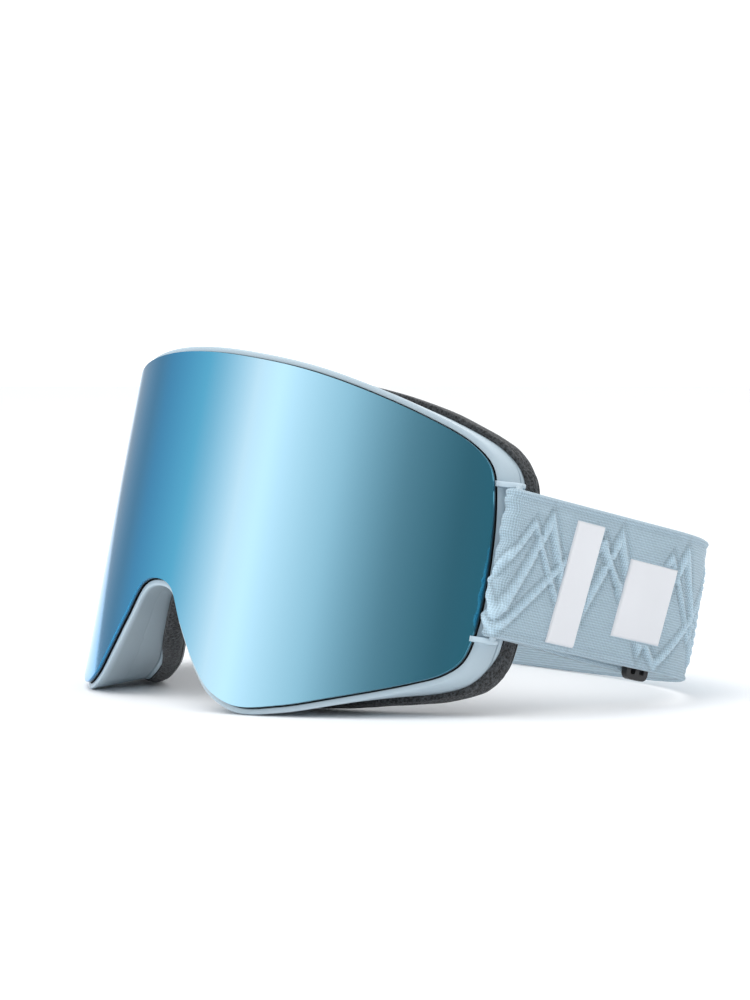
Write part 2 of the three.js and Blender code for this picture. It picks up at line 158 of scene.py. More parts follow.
def along(points, places):
    """Centripetal Catmull-Rom curve: a cubic between each two points, whose end slopes come from the
    square roots of the neighbouring chords."""
    base = np.floor(places).astype(int)
    t = (places - base)[:, None]
    p0, p1, p2, p3 = (points[(base + k) % len(points)] for k in (-1, 0, 1, 2))
    d0, d1, d2 = (np.linalg.norm(b - a, axis=1)[:, None] ** 0.5 for a, b in ((p0, p1), (p1, p2), (p2, p3)))
    slope1 = d1 * ((p1 - p0) / d0 - (p2 - p0) / (d0 + d1)) + (p2 - p1)
    slope2 = (p2 - p1) + d1 * ((p3 - p2) / d2 - (p3 - p1) / (d1 + d2))
    cubic = 2 * p1 - 2 * p2 + slope1 + slope2
    square = 3 * (p2 - p1) - 2 * slope1 - slope2
    return ((cubic * t + square) * t + slope1) * t + p1


LENS_LOOP = closed_outline(LENS_EDGE)
PORT_LOOP = closed_outline(PORT_EDGE)


def spokes(places):
    """Points on the lens edge and unit directions from them to the matching points of the port."""
    point = along(LENS_LOOP, places)
    inward = along(PORT_LOOP, places) - point
    return point, inward / np.linalg.norm(inward, axis=1)[:, None]


def wrap(s, z, depth):
    """Lays unrolled points on the lens cylinder: the angle is arc length over radius, and depth runs back
    along a direction turned by a share of that angle."""
    angle = s / LENS_RADIUS
    x = LENS_RADIUS * np.sin(angle) - depth * np.sin(angle * DEPTH_TURN)
    y = LENS_RADIUS * (1 - np.cos(angle)) + depth * np.cos(angle * DEPTH_TURN)
    return np.stack(np.broadcast_arrays(x, y, z), axis=-1)


def smoothstep(value, low, high):
    t = np.clip((value - low) / (high - low), 0, 1)
    return t * t * (3 - 2 * t)


def front(places, inset, depth):
    point, inward = spokes(places)
    flat = point + inward * np.reshape(inset, (-1, 1))
    return wrap(flat[:, 0], flat[:, 1], depth)


def rear_depth(x, z):
    """A parabola across the face, drawn forwards to the nose depth below the middle."""
    face = FOREHEAD_DEPTH + (TEMPLE_DEPTH - 1) * (x / TEMPLE_X) ** 2
    nose = NOSE_DEPTH + (face - NOSE_DEPTH) * smoothstep(np.abs(x), 0, NOSE_REACH)
    return np.where(z > REAR_MIDDLE, face, nose)


def rear(places, inset, depth):
    """The lens edge carried back to the face's curve and moved inwards along its spokes."""
    point, inward = spokes(places)
    inset = np.ravel(inset)
    rise = REAR_RISE * (1 - smoothstep(point[:, 1], *RISE_ENDS))
    share = np.where(point[:, 1] > REAR_MIDDLE, REAR_DROP, rise)
    x = LENS_RADIUS * np.sin(point[:, 0] / LENS_RADIUS)
    z = point[:, 1] + (REAR_MIDDLE - point[:, 1]) * share
    y = rear_depth(x, z) - FACE_SLOPE * np.abs(x) / TEMPLE_X * inset + depth
    return np.stack([x + inward[:, 0] * inset, y, z + inward[:, 1] * inset], axis=1)


def wall(places, inset, share):
    ahead = front(places, inset, RIM["front"])
    behind = rear(places, inset, -FLANGE["thickness"] - GAP)
    return ahead + (behind - ahead) * share


def wall_inset(share):
    return RIM["lip"][0] + share * WALL["slant"]


def rim_end(places, gap=0.0):
    """The share of the wall's depth at which the rim ends, a little behind its ledge, plus a gap."""
    ahead = front(places, 0, RIM["front"])
    back = front(places, 0, RIM["front"] + 1) - ahead
    behind = rear(places, 0, -FLANGE["thickness"] - GAP)
    reach = ((behind - ahead) * back).sum(axis=1)
    return (np.maximum(RIM["share"], (RIM["end"] - RIM["front"]) / reach) + gap / reach)[:, None]


def wall_corner(places, part, extra, gap=0.0):
    """A corner of the side wall behind the rim's end: part runs from 0 there to 1 at the flange."""
    share = rim_end(places, gap) * (1 - part) + part
    return wall(places, wall_inset(share) + extra, share)


def rounded(corners, radius, steps=4):
    """Rounds a closed section: each corner becomes a quadratic curve that starts and ends a radius away."""
    corners = np.asarray(corners)
    before = np.roll(corners, 1, axis=0) - corners
    after = np.roll(corners, -1, axis=0) - corners
    lengths = [np.linalg.norm(side, axis=2, keepdims=True) for side in (before, after)]
    cut = [np.minimum(np.reshape(radius, (-1, 1, 1)) / length, 0.45) for length in lengths]
    t = np.linspace(0, 1, steps + 1)[None, :, None, None]
    start = (corners + before * cut[0])[:, None]
    end = (corners + after * cut[1])[:, None]
    curve = start * (1 - t) ** 2 + corners[:, None] * 2 * t * (1 - t) + end * t ** 2
    return curve.reshape(-1, *corners.shape[1:])


def sheet_columns(inset, count):
    """Arc lengths across the sheet, closer together near its ends, with the lower and upper edge at each."""
    point, inward = spokes(np.linspace(0, ROUND / 2, 2000))
    edge = point + inward * inset
    widest = int(np.argmax(edge[:, 0]))
    s = (edge[widest, 0] - 0.02) * np.sin(np.linspace(-np.pi / 2, np.pi / 2, count))
    upper = np.interp(np.abs(s), edge[:widest + 1, 0], edge[:widest + 1, 1])
    lower = np.interp(np.abs(s), edge[:widest - 1:-1, 0], edge[:widest - 1:-1, 1])
    return s, lower, upper


def sheet(inset, depths, count=420, rows=10):
    """A sheet between two depths: each column runs down the front and up the back."""
    s, lower, upper = sheet_columns(inset, count)
    share = np.linspace(0, 1, rows)[:, None]
    down = upper + (lower - upper) * share
    return np.concatenate([wrap(s, down, depths[0]), wrap(s, down[::-1], depths[1])])


OUTER_X = BAR["x"] + BAR["radius"] + GAP + STRAP["thickness"] / 2
FOLD_RADIUS = OUTER_X - BAR["x"]


def strap_line(step=0.6):
    """The strap's middle line from above: back along the temple, a quarter of a superellipse behind the
    head, the mirror image, and a half circle round each bracket bar, at equal steps of length."""
    turn = np.linspace(np.pi, 0, 40)
    fold = np.stack([BAR["x"] + FOLD_RADIUS * np.cos(turn), BAR["y"] - FOLD_RADIUS * np.sin(turn)], axis=1)
    angle = np.linspace(0, np.pi / 2, 400)
    power = 2 / STRAP["power"]
    bend = np.stack([
        OUTER_X * np.cos(angle).clip(0) ** power,
        STRAP["straight"] + STRAP["reach"] * np.sin(angle) ** power,
    ], axis=1)
    half = np.vstack([[(BAR["x"] - FOLD_RADIUS, FOLD_RETURN)], fold, bend])
    line = np.vstack([half, half[-2::-1] * (-1, 1)])
    length = np.concatenate([[0], np.cumsum(np.linalg.norm(np.diff(line, axis=0), axis=1))])
    even = np.linspace(0, length[-1], int(length[-1] / step) + 1)
    return np.stack([np.interp(even, length, line[:, k]) for k in (0, 1)], axis=1), even


def normals_of(line):
    tangent = np.gradient(line, axis=0)
    normal = np.stack([tangent[:, 1], -tangent[:, 0]], axis=1)
    return normal / np.linalg.norm(normal, axis=1)[:, None]


# ---- Meshes ----

def seat_origin():
    """Where the upright frame's origin lies on the table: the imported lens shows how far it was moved."""
    low = np.array(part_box("outer_lens")[0]) / MM
    lens = leaned(sheet(0, (0, LENS_THICKNESS), count=800))
    return low - lens.reshape(-1, 3).min(axis=0)


def leaned(points):
    """Turns points about the X axis, leaning the goggles back."""
    points = np.asarray(points, float)
    x, y, z = points[..., 0], points[..., 1], points[..., 2]
    back = y * math.cos(LEAN) + z * math.sin(LEAN)
    up = z * math.cos(LEAN) - y * math.sin(LEAN)
    return np.stack([x, back, up], axis=-1)


SEAT = seat_origin() * (0, 1, 1)


def seated(points):
    """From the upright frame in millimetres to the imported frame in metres."""
    return (leaned(points) + SEAT) * MM


def grid_faces(rows, columns, wrap_rows, wrap_columns):
    i = np.arange(rows if wrap_rows else rows - 1)[:, None]
    j = np.arange(columns if wrap_columns else columns - 1)[None, :]
    down, along_row = (i + 1) % rows, (j + 1) % columns
    corners = (i * columns + j, down * columns + j, down * columns + along_row, i * columns + along_row)
    return np.stack([np.broadcast_to(c, (len(i), j.shape[1])) for c in corners], axis=-1).reshape(-1, 4)


def new_mesh(name, vertices, faces, smooth=True):
    mesh = bpy.data.meshes.new(name)
    mesh.from_pydata(np.asarray(vertices).reshape(-1, 3).tolist(), [], [list(f) for f in faces])
    mesh.validate()
    recalculate(mesh)
    mesh.polygons.foreach_set("use_smooth", np.full(len(mesh.polygons), smooth))
    piece = bpy.data.objects.new(name, mesh)
    bpy.context.scene.collection.objects.link(piece)
    return piece


def recalculate(mesh):
    work = bmesh.new()
    work.from_mesh(mesh)
    bmesh.ops.recalc_face_normals(work, faces=work.faces)
    if work.calc_volume(signed=True) < 0:
        bmesh.ops.reverse_faces(work, faces=work.faces)
    work.to_mesh(mesh)
    work.free()


def ring(name, sections, radius):
    """A closed section carried right round: rows are section points and columns are stations."""
    grid = rounded(sections, radius)
    return new_mesh(name, seated(grid), grid_faces(*grid.shape[:2], True, True).tolist())


def strip(name, grid):
    """A closed section carried along an open line, with flat ends. Rows are section points."""
    rows, columns = grid.shape[:2]
    faces = grid_faces(rows, columns, True, False).tolist()
    first = [i * columns for i in range(rows)]
    last = [i * columns + columns - 1 for i in reversed(range(rows))]
    return new_mesh(name, seated(grid), faces + [first, last])


def paint(piece, name, values):
    layer = piece.data.attributes.new(name, "FLOAT", "POINT")
    layer.data.foreach_set("value", np.asarray(values, np.float32).ravel())


def rest_on_floor(piece):
    """Presses flat whatever lies below the floor."""
    places = np.empty(len(piece.data.vertices) * 3)
    piece.data.vertices.foreach_get("co", places)
    places[2::3] = np.maximum(places[2::3], 0.0)
    piece.data.vertices.foreach_set("co", places)


def paint_nose_shade(piece, first_row):
    """Paints shade round the nose opening: marks the section's last rows, from a share of it onwards, to be
    darker there.
    """
    rows = len(piece.data.vertices) // len(STATIONS)
    nose_shade_mask = 1 - smoothstep(np.abs(STATIONS - NOSE_PLACE), 3.5, 5)
    painted = np.linspace(0, 1, rows, endpoint=False)[:, None] >= first_row - 1 / 9
    paint(piece, "shade", painted * nose_shade_mask[None, :])


def sharpen(piece, degrees=35):
    piece.data.set_sharp_from_angle(angle=math.radians(degrees))


# ---- Materials ----

class Number:
    """A number socket: arithmetic on it adds Math nodes."""

    def __init__(self, tree, socket):
        self.tree = tree
        self.socket = socket

    def apply(self, operation, first, second=None):
        node = self.tree.nodes.new("ShaderNodeMath")
        node.operation = operation
        for slot, value in zip(node.inputs, (first, second)):
            if isinstance(value, Number):
                self.tree.links.new(value.socket, slot)
            elif value is not None:
                slot.default_value = value
        return Number(self.tree, node.outputs[0])

    def __add__(self, other):
        return self.apply("ADD", self, other)

    __radd__ = __add__

    def __mul__(self, other):
        return self.apply("MULTIPLY", self, other)

    __rmul__ = __mul__

    def __sub__(self, other):
        return self.apply("SUBTRACT", self, other)

    def __rsub__(self, other):
        return self.apply("SUBTRACT", other, self)

    def sine(self):
        return self.apply("SINE", self)

    def clamped(self):
        return self.apply("MAXIMUM", self.apply("MINIMUM", self, 1.0), 0.0)


class Nodes:
    """A node tree: its nodes are added by one method."""

    def __init__(self, tree):
        self.tree = tree

    def node(self, kind, settings=None, inputs=None):
        node = self.tree.nodes.new(kind)
        for name, value in (settings or {}).items():
            if name == "stops":
                self.set_stops(node.color_ramp, value)
            else:
                setattr(node, name, value)
        self.feed(node, inputs or {})
        return node

    def set_stops(self, ramp, stops):
        while len(ramp.elements) < len(stops):
            ramp.elements.new(0.5)
        for element, (place, colour) in zip(ramp.elements, stops):
            element.position = place
            element.color = colour

    def feed(self, node, inputs):
        for name, value in inputs.items():
            if isinstance(value, Number):
                value = value.socket
            if isinstance(value, bpy.types.NodeSocket):
                self.tree.links.new(value, node.inputs[name])
            else:
                node.inputs[name].default_value = value

    def number(self, node, output=0):
        return Number(self.tree, node.outputs[output])


class Finish(Nodes):
    """A new material whose shader is a Principled BSDF."""

    def __init__(self, name):
        self.material = bpy.data.materials.new(name)
        self.material.use_nodes = True
        super().__init__(self.material.node_tree)
        self.shader = self.tree.nodes["Principled BSDF"]

    def place(self, scale=(1, 1, 1), turn=(0, 0, 0), source="Object"):
        where = self.node("ShaderNodeTexCoord")
        return self.node("ShaderNodeMapping", inputs={
            "Vector": where.outputs[source], "Scale": scale, "Rotation": turn,
        }).outputs[0]

    def noise(self, scale, detail=4.0, source="Object", stretch=(1, 1, 1)):
        return self.number(self.node("ShaderNodeTexNoise", inputs={
            "Vector": self.place(stretch, source=source), "Scale": scale, "Detail": detail,
        }))

    def cells(self, scale, source="Object", stretch=(1, 1, 1)):
        return self.number(self.node("ShaderNodeTexVoronoi", inputs={
            "Vector": self.place(stretch, source=source), "Scale": scale,
        }))

    def mix(self, factor, first, second):
        """Colours mixed by a factor; both inputs may be colours or links."""
        node = self.node("ShaderNodeMix", {"data_type": "RGBA"})
        self.feed(node, {0: factor, 6: first, 7: second})
        return node.outputs[2]

    def bump(self, height, distance, strength=1.0):
        node = self.node("ShaderNodeBump", inputs={
            "Height": height, "Distance": distance, "Strength": strength,
        })
        self.feed(self.shader, {"Normal": node.outputs[0]})

    def set(self, **inputs):
        self.feed(self.shader, {name.replace("_", " "): value for name, value in inputs.items()})


def rgba(colour, factor=1.0):
    return (*(min(1.0, c * factor) for c in colour[:3]), 1.0)


def colours():
    return bpy.context.scene.goggle_colours


def mirror_finish():
    """Mirror coating on a dark smoky sheet, whose hue drifts across the lens. Its ramp also holds painted
    reflection: paler and brighter a little to the wearer's left of the middle, darker towards both ends. The
    object's X, over half the lens width, runs the colour ramp."""
    finish = Finish("mirror_coating_and_painted_reflection")
    reflection_band_tint = colours().lens
    across = finish.number(finish.node("ShaderNodeSeparateXYZ", inputs={"Vector": finish.place()}))
    # painted reflection: besides the coating's hue drift, the stops are paler and brighter at the band and
    # darker at both ends
    ramp = finish.node("ShaderNodeValToRGB", {"stops": [
        (0.0, rgba((0.06, 0.32, 0.60))), (0.42, rgba((0.07, 0.46, 0.86))), (0.54, rgba((0.13, 0.53, 0.80))),
        (0.66, rgba(reflection_band_tint)), (1.0, rgba((0.07, 0.35, 0.50))),
    ]}, {"Fac": (across * (1 / 0.17) + 0.5)})
    coat = finish.number(finish.node("ShaderNodeAttribute", {"attribute_name": "coat"}), "Fac")
    smear = finish.noise(22.0, 3.0)
    finish.set(
        Base_Color=finish.mix(coat, (0.02, 0.022, 0.025, 1), ramp.outputs[0]),
        Metallic=coat * 1.0, Roughness=coat * (smear * 0.03 + 0.1) + (1 - coat) * 0.3,
    )
    return finish.material


def clear_finish():
    finish = Finish("clear_sheet")
    haze = finish.noise(40.0, 3.0)
    finish.set(Base_Color=(0.8, 0.86, 0.88, 1), Roughness=haze * 0.06 + 0.03, IOR=1.5)
    finish.set(Transmission_Weight=1.0)
    return finish.material


def plastic_finish(name, colour, roughness, grain=0.00002, tone=0.12):
    """Moulded plastic: fine spark-eroded grain, with slight changes of tone and gloss. Where a piece carries
    the shade attribute, painted shade darkens it to 0.6 of its colour.
    """
    finish = Finish(name)
    fine = finish.noise(2600.0, 2.0)
    broad = finish.noise(35.0, 3.0)
    shade = finish.number(finish.node("ShaderNodeAttribute", {"attribute_name": "shade"}), "Fac")
    lit = finish.mix(broad, rgba(colour, 1 - tone), rgba(colour, 1 + tone * 0.6))
    # painted shade: the shade attribute mixes in a darker copy of the colour round the nose
    finish.set(
        Base_Color=finish.mix(shade, lit, rgba(colour, 0.6)),
        Roughness=roughness + (fine - 0.5) * 0.12 + (broad - 0.5) * 0.1,
    )
    finish.bump(fine, grain, 0.5)
    return finish.material


def steel_finish():
    finish = Finish("plated_steel")
    brushed = finish.noise(900.0, 2.0, stretch=(1, 1, 0.05))
    finish.set(
        Base_Color=finish.mix(brushed, (0.42, 0.42, 0.43, 1), (0.66, 0.66, 0.67, 1)),
        Metallic=1.0, Roughness=brushed * 0.2 + 0.25,
    )
    return finish.material


def foam_finish(name, colour, pore):
    """Open-cell foam: cells of two sizes whose hollows are darker."""
    finish = Finish(name)
    large = finish.cells(pore)
    small = finish.cells(pore * 2.3)
    speck = finish.noise(pore * 1.2, 6.0)
    height = large * 0.6 + small * 0.4
    shade = ((height * 0.7 + speck * 0.6 - 0.48) * 2.4).clamped()
    finish.set(
        Base_Color=finish.mix(shade, rgba(colour, 0.2), rgba(colour, 3.4)), Roughness=0.9 + speck * 0.1,
    )
    finish.set(Sheen_Weight=0.15, Sheen_Roughness=0.6)
    finish.bump(height, 0.0005)
    return finish.material


def fleece_finish():
    """Brushed fleece: short lying fibres over soft clumps."""
    finish = Finish("face_fleece")
    fibre = finish.noise(1500.0, 5.0, stretch=(1, 1, 0.35))
    clump = finish.noise(220.0, 4.0)
    height = fibre * 0.5 + clump * 0.5
    base = colours().foam
    finish.set(Base_Color=finish.mix(height, rgba(base, 0.5), rgba(base, 2.0)), Roughness=0.95)
    finish.set(Sheen_Weight=0.6, Sheen_Roughness=0.45)
    finish.bump(height, 0.0004)
    return finish.material


def weave(finish, pitch):
    """Two slanting sets of yarns crossing as diamonds, on the strap's own map, from 0 to 1."""
    where = finish.node("ShaderNodeSeparateXYZ", inputs={"Vector": finish.place(source="UV")})
    u, v = finish.number(where, 0), finish.number(where, 1)
    turns = 2 * math.pi / pitch
    wobble = finish.noise(260.0, 2.0, source="UV") * 0.9
    one = ((u * 0.8 + v * 0.6) * turns + wobble).sine()
    other = ((u * 0.8 - v * 0.6) * turns + wobble).sine()
    return (one * other) * 0.5 + 0.5


def knit_finish():
    """Elastic knit: diamond stitches, broad unevenness, a paler raised cable and loose fibres."""
    finish = Finish("strap_knit")
    base = colours().strap
    stitch = weave(finish, 0.0009)
    fuzz = finish.noise(1800.0, 4.0, source="UV")
    broad = finish.noise(60.0, 4.0, source="UV")
    relief = finish.number(finish.node("ShaderNodeAttribute", {"attribute_name": "relief"}), "Fac")
    tone = (stitch * 0.55 + fuzz * 0.2 + broad * 0.25 + relief * 0.45).clamped()
    finish.set(
        Base_Color=finish.mix(tone, rgba(base, 0.5), rgba(base, 1.3)), Roughness=0.86 + fuzz * 0.1,
    )
    finish.set(Sheen_Weight=0.35, Sheen_Roughness=0.5)
    finish.bump(stitch * 0.7 + fuzz * 0.3, 0.0004)
    return finish.material


def print_finish():
    finish = Finish("raised_print")
    fine = finish.noise(900.0, 3.0)
    broad = finish.noise(50.0, 2.0)
    base = colours().motif
    finish.set(Base_Color=finish.mix(broad, rgba(base, 0.95), rgba(base, 1.03)), Roughness=fine * 0.15 + 0.42)
    finish.bump(fine, 0.00003)
    return finish.material


def silicone_finish():
    finish = Finish("grip_silicone")
    fine = finish.noise(500.0, 3.0)
    finish.set(
        Base_Color=finish.mix(fine, (0.62, 0.67, 0.7, 1), (0.74, 0.78, 0.8, 1)), Roughness=fine * 0.2 + 0.3,
    )
    finish.set(Coat_Weight=0.2)
    finish.bump(fine, 0.00005)
    return finish.material


FINISHES = {
    "mirror": mirror_finish,
    "clear": clear_finish,
    "black": lambda: plastic_finish("black_plastic", (0.012, 0.012, 0.013), 0.42, tone=0.3),
    "shell": lambda: plastic_finish("frame_plastic", colours().frame, 0.42, tone=0.05),
    "steel": steel_finish,
    "foam": lambda: foam_finish("face_foam", colours().foam, 1200.0),
    "filter": lambda: foam_finish("filter_foam", (0.03, 0.032, 0.034), 1300.0),
    "fleece": fleece_finish,
    "knit": knit_finish,
    "print": print_finish,
    "silicone": silicone_finish,
}
MADE = {}


def finish_for(name):
    if name not in MADE:
        MADE[name] = FINISHES[name]()
    return MADE[name]


def dress(piece, finish, body, *nodes):
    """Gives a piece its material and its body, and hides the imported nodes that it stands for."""
    piece.data.materials.append(finish_for(finish))
    if body:
        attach(piece, body)
    if nodes:
        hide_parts(*nodes)
    return piece


def redress(node, finish):
    """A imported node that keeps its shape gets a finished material."""
    piece = frame["nodes"][node]
    piece.data.materials.clear()
    piece.data.materials.append(finish_for(finish))


# ---- Sizes and colours that a user may change ----

class GoggleSizes(bpy.types.PropertyGroup):
    cable_height: FloatProperty(
        name="Cable height", description="Height of the strap's raised cables", default=0.001, unit="LENGTH")
    foam_crown: FloatProperty(
        name="Foam crown", description="How far the foam layers bulge between their seams", default=0.0006,
        unit="LENGTH")


class GoggleColours(bpy.types.PropertyGroup):
    # Lens: the pale middle stop of the coating's ramp, which is partly painted reflection
    lens: FloatVectorProperty(
        name="Lens", description="Mirror coating", default=(0.42, 0.63, 0.75), subtype="COLOR", min=0, max=1)
    frame: FloatVectorProperty(
        name="Frame", description="Moulded frame", default=(0.50, 0.61, 0.68), subtype="COLOR", min=0, max=1)
    strap: FloatVectorProperty(
        name="Strap", description="Knit strap", default=(0.45, 0.60, 0.70), subtype="COLOR", min=0, max=1)
    motif: FloatVectorProperty(
        name="Motif", description="Raised print", default=(0.78, 0.79, 0.82), subtype="COLOR", min=0, max=1)
    foam: FloatVectorProperty(
        name="Foam", description="Face foam", default=(0.024, 0.026, 0.028), subtype="COLOR", min=0, max=1)


# ---- Operators: one for each piece or group of like pieces ----

class AddOuterLens(bpy.types.Operator):
    """Cylindrical mirrored sheet: front and back surfaces at two depths, between two edge curves"""
    bl_idname = "goggles.outer_lens"
    bl_label = "Outer lens"

    def execute(self, context):
        rows = 10
        grid = sheet(LENS_REACH, (0, LENS_THICKNESS), rows=rows)
        lens = strip("mirrored_lens", grid)
        coat = np.zeros(grid.shape[:2])
        coat[:rows] = 1
        paint(lens, "coat", coat)
        sharpen(lens)
        dress(lens, "mirror", "lens", "outer_lens")
        return {"FINISHED"}


class AddLensBacking(bpy.types.Operator):
    """Gasket, inner sheet and black carrier behind the mirrored lens, with its steel keepers"""
    bl_idname = "goggles.lens_backing"
    bl_label = "Lens backing"

    def execute(self, context):
        (outer, inner), (near, far) = GASKET["inset"], GASKET["depth"]
        gasket = ring("foam_gasket", [
            front(STATIONS, outer, near), front(STATIONS, inner, near),
            front(STATIONS, inner, far), front(STATIONS, outer, far),
        ], 0.4)
        dress(gasket, "filter", "lens", "lens_gasket")
        clear = strip("anti_fog_lens", sheet(INNER_LENS["inset"], INNER_LENS["depth"]))
        sharpen(clear)
        dress(clear, "clear", "lens", "inner_lens")
        redress("lens_carrier", "black")
        for number in range(1, 7):
            redress(f"lens_keeper_{number}", "steel")
        return {"FINISHED"}


class AddFrontRim(bpy.types.Operator):
    """Lip round the lens, the ledge behind it and the front of the side wall, as one ring"""
    bl_idname = "goggles.front_rim"
    bl_label = "Front rim"

    def execute(self, context):
        outer, inner = RIM["lip"]
        seat, back = RIM["ledge"]
        share = rim_end(STATIONS) / 2
        sections = [
            front(STATIONS, outer + 0.1, RIM["front"]), front(STATIONS, inner, RIM["front"]),
            front(STATIONS, inner, seat), front(STATIONS, RIM["inner"], seat),
            front(STATIONS, RIM["inner"], back), front(STATIONS, RIM["shoulder"], back),
            wall_corner(STATIONS, 0, WALL["thickness"]), wall_corner(STATIONS, 0, 0),
            wall(STATIONS, wall_inset(share), share),
        ]
        rim = ring("rim_and_ledge", sections, [0.6, 0.35, 0.1, 0.2, 0.2, 0.3, 0.2, 0.05, 2])
        # painted shade on the rim's wall rows round the nose
        paint_nose_shade(rim, 8 / 9)
        dress(rim, "shell", "frame", "front_rim")
        for number in range(1, 7):
            redress(f"frame_magnet_{number}", "steel")
        return {"FINISHED"}


class AddFrameShell(bpy.types.Operator):
    """Side wall with its brow and cheek vents, and the rear flange"""
    bl_idname = "goggles.frame_shell"
    bl_label = "Frame shell"

    def execute(self, context):
        outer = [wall_corner(STATIONS, part, 0, SEAM) for part in (0, 0.5, 1)]
        inner = [wall_corner(STATIONS, part, WALL["thickness"], SEAM) for part in (1, 0.5, 0)]
        shell = ring("side_wall", outer + inner, [0.05, 1, 0.3, 0.3, 1, 0.1])
        # painted shade on the side wall round the nose
        paint_nose_shade(shell, 0)
        self.open_vents(shell)
        sharpen(shell)
        dress(shell, "shell", "frame", "frame_shell")
        near, far = FLANGE["inset"]
        flange = ring("rear_flange", [
            rear(STATIONS, near, -FLANGE["thickness"]), rear(STATIONS, far, -FLANGE["thickness"]),
            rear(STATIONS, far, 0), rear(STATIONS, near, 0),
        ], 0.4)
        dress(flange, "shell", "frame", "face_flange")
        return {"FINISHED"}

    def open_vents(self, shell):
        vents = [(place, vent) for vent in (BROW_VENT, CHEEK_VENT) for place in vent["places"]]
        for number, (place, vent) in enumerate(vents):
            cutter = self.vent_cutter(f"vent_cutter_{number}", place, vent["width"], vent["depth"])
            cut = shell.modifiers.new("vent", "BOOLEAN")
            cut.object = cutter
            cut.solver = "EXACT"
        bake_modifiers(shell)
        for piece in [o for o in bpy.data.objects if o.name.startswith("vent_cutter_")]:
            bpy.data.objects.remove(piece)

    def vent_cutter(self, name, place, width, depth):
        """A rounded slot: a stadium outline in the wall's own directions, carried through the wall."""
        near, middle, far = wall(np.array([place - 0.1, place, place + 0.1]), WALL["line"], VENT_SHARE)
        along_wall = (far - near) / np.linalg.norm(far - near)
        back = np.array([0, 1, 0]) - along_wall * along_wall[1]
        back /= np.linalg.norm(back)
        through = np.cross(along_wall, back)
        angle = np.linspace(0, 2 * np.pi, 32, endpoint=False)
        power = 0.55
        across = np.sign(np.cos(angle)) * np.abs(np.cos(angle)) ** power * width / 2
        deep = np.sign(np.sin(angle)) * np.abs(np.sin(angle)) ** power * depth / 2
        outline = middle + across[:, None] * along_wall + deep[:, None] * back
        grid = np.stack([outline - through * 4.5, outline + through * 4.5], axis=1)
        return strip(name, grid)


def bake_modifiers(piece):
    """Replaces a piece's mesh with what its modifiers make of it."""
    graph = bpy.context.evaluated_depsgraph_get()
    made = bpy.data.meshes.new_from_object(piece.evaluated_get(graph))
    piece.modifiers.clear()
    piece.data = made


class AddVentFoams(bpy.types.Operator):
    """Air filters inside the wall: a thin section carried along the vents"""
    bl_idname = "goggles.vent_foams"
    bl_label = "Vent foams"

    def execute(self, context):
        near, far = VENT_FOAM["cheek"]
        self.filter("brow_filter", *VENT_FOAM["brow"], "vent_foam_brow")
        self.filter("cheek_filter_left", near, far, "vent_foam_cheek_left")
        self.filter("cheek_filter_right", -far, -near, "vent_foam_cheek_right")
        return {"FINISHED"}

    def filter(self, name, start, end, node):
        places = np.linspace(start, end, int((end - start) * 16) + 1)
        sections = []
        (low, high), deep = VENT_FOAM["shares"], VENT_FOAM["thickness"]
        for share, extra in ((low, 0), (low, deep), (high, deep), (high, 0)):
            inset = wall_inset(share) + WALL["thickness"] + GAP + extra
            sections.append(wall(places, inset, share))
        dress(strip(name, rounded(sections, 0.3)), "filter", "frame", node)


class AddFaceFoam(bpy.types.Operator):
    """Three foam layers behind the flange, each one crowned between its seams"""
    bl_idname = "goggles.face_foam"
    bl_label = "Face foam"

    def execute(self, context):
        self.body()
        self.lining()
        return {"FINISHED"}

    def body(self):
        """The two bonded foam layers as one band, which bulges past the flange where the strap leaves room
        and wraps forwards over the flange's edge there."""
        outer, inner = FLANGE["inset"]
        near, far = FOAM["base"][0] - SEAM, FOAM["middle"][1] + SEAM
        taper, crown = FOAM["taper"], context_sizes().foam_crown / MM
        x, _, z = rear(STATIONS, outer, 0).T
        x = np.abs(x)
        beside_strap = smoothstep(z, 20, 31) * (1 - smoothstep(z, 72, 88)) * smoothstep(x, 66, 80)
        nose = (1 - smoothstep(x, 16, 30)) * (1 - smoothstep(z, 48, 58))
        free = np.maximum(nose, smoothstep(x, 30, 66)) * (1 - beside_strap)
        lumps = 0.05 * np.sin(STATIONS * 5.1) + 0.04 * np.sin(STATIONS * 11.7 + 1)
        wrap_front = near - 0.15 - 2.3 * free
        bulge = outer - 0.3 - (crown + 1.1 + lumps) * free
        foam = ring("face_foam_band", [
            rear(STATIONS, outer - 0.15, wrap_front), rear(STATIONS, outer - 0.15, near),
            rear(STATIONS, inner - taper * near, near),
            rear(STATIONS, inner + crown + lumps, (near + far) / 2),
            rear(STATIONS, inner - taper * far, far), rear(STATIONS, outer + taper * far, far),
            rear(STATIONS, bulge, (near + far) / 2), rear(STATIONS, bulge + 0.3, wrap_front),
        ], [0.1, 0.1, 0.5, 2.5, 0.4, 0.6, 3, 0.7])
        rest_on_floor(foam)
        dress(foam, "foam", "frame", "base_foam", "middle_foam")

    def lining(self):
        """The brushed face layer: rounded shoulders and a low crown towards the face."""
        outer, inner = FLANGE["inset"]
        near, far = FOAM["face"][0] - SEAM, FOAM["face"][1]
        taper, crown = FOAM["taper"], context_sizes().foam_crown / MM
        lining = ring("fleece_face_layer", [
            rear(STATIONS, outer + taper * near, near), rear(STATIONS, inner - taper * near, near),
            rear(STATIONS, inner - taper * far - 1.2, far),
            rear(STATIONS, (outer + inner) / 2, far + crown),
            rear(STATIONS, outer + taper * far + 1.2, far),
        ], [0.4, 0.4, 1.4, 4, 1.4])
        dress(lining, "fleece", "frame", "fleece_lining")


def context_sizes():
    return bpy.context.scene.goggle_sizes


def bump(y, front, back, rise):
    """0 at the front, 1 between the two rises and 0 at the back, with smooth steps."""
    return smoothstep(y, front, front + rise) * (1 - smoothstep(y, back - rise, back))


